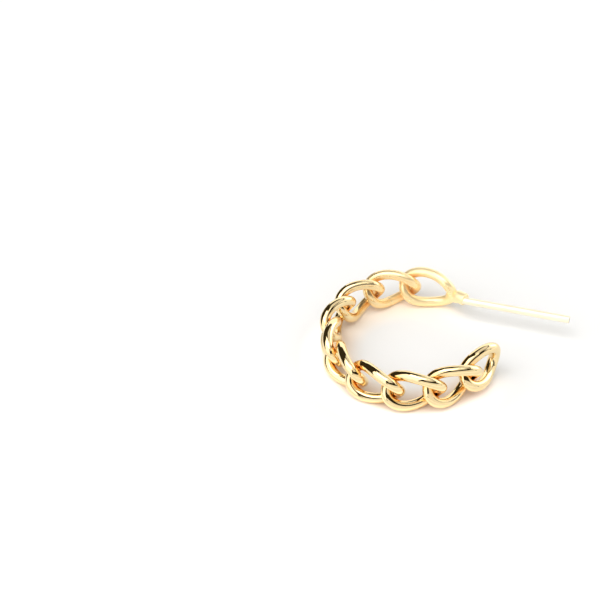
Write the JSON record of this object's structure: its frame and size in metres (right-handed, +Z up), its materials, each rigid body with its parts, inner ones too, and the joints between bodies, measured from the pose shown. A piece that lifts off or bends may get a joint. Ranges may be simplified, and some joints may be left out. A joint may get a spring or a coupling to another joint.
{
  "type": "curb chain hoop earring",
  "caption": "Open hoop earring of interlocked twisted oval curb chain links, with a short soldered collar and a straight ear post across its mouth.",
  "frame": {"origin": "middle of the underside of the earring's bounding box, as it lies on its side", "axes": "+Z up along the hoop's axis, +X the way the ear post points"},
  "size_m": [0.0234, 0.0182, 0.0044],
  "materials": {
    "polished_gold": "mirror-polished yellow gold plate"
  },
  "bodies": {
    "root": {"post_link": "polished_gold", "link_2": "polished_gold", "link_3": "polished_gold", "link_4": "polished_gold", "link_5": "polished_gold", "link_6": "polished_gold", "link_7": "polished_gold", "link_8": "polished_gold", "link_9": "polished_gold", "end_link": "polished_gold"}
  },
  "joints": []
}
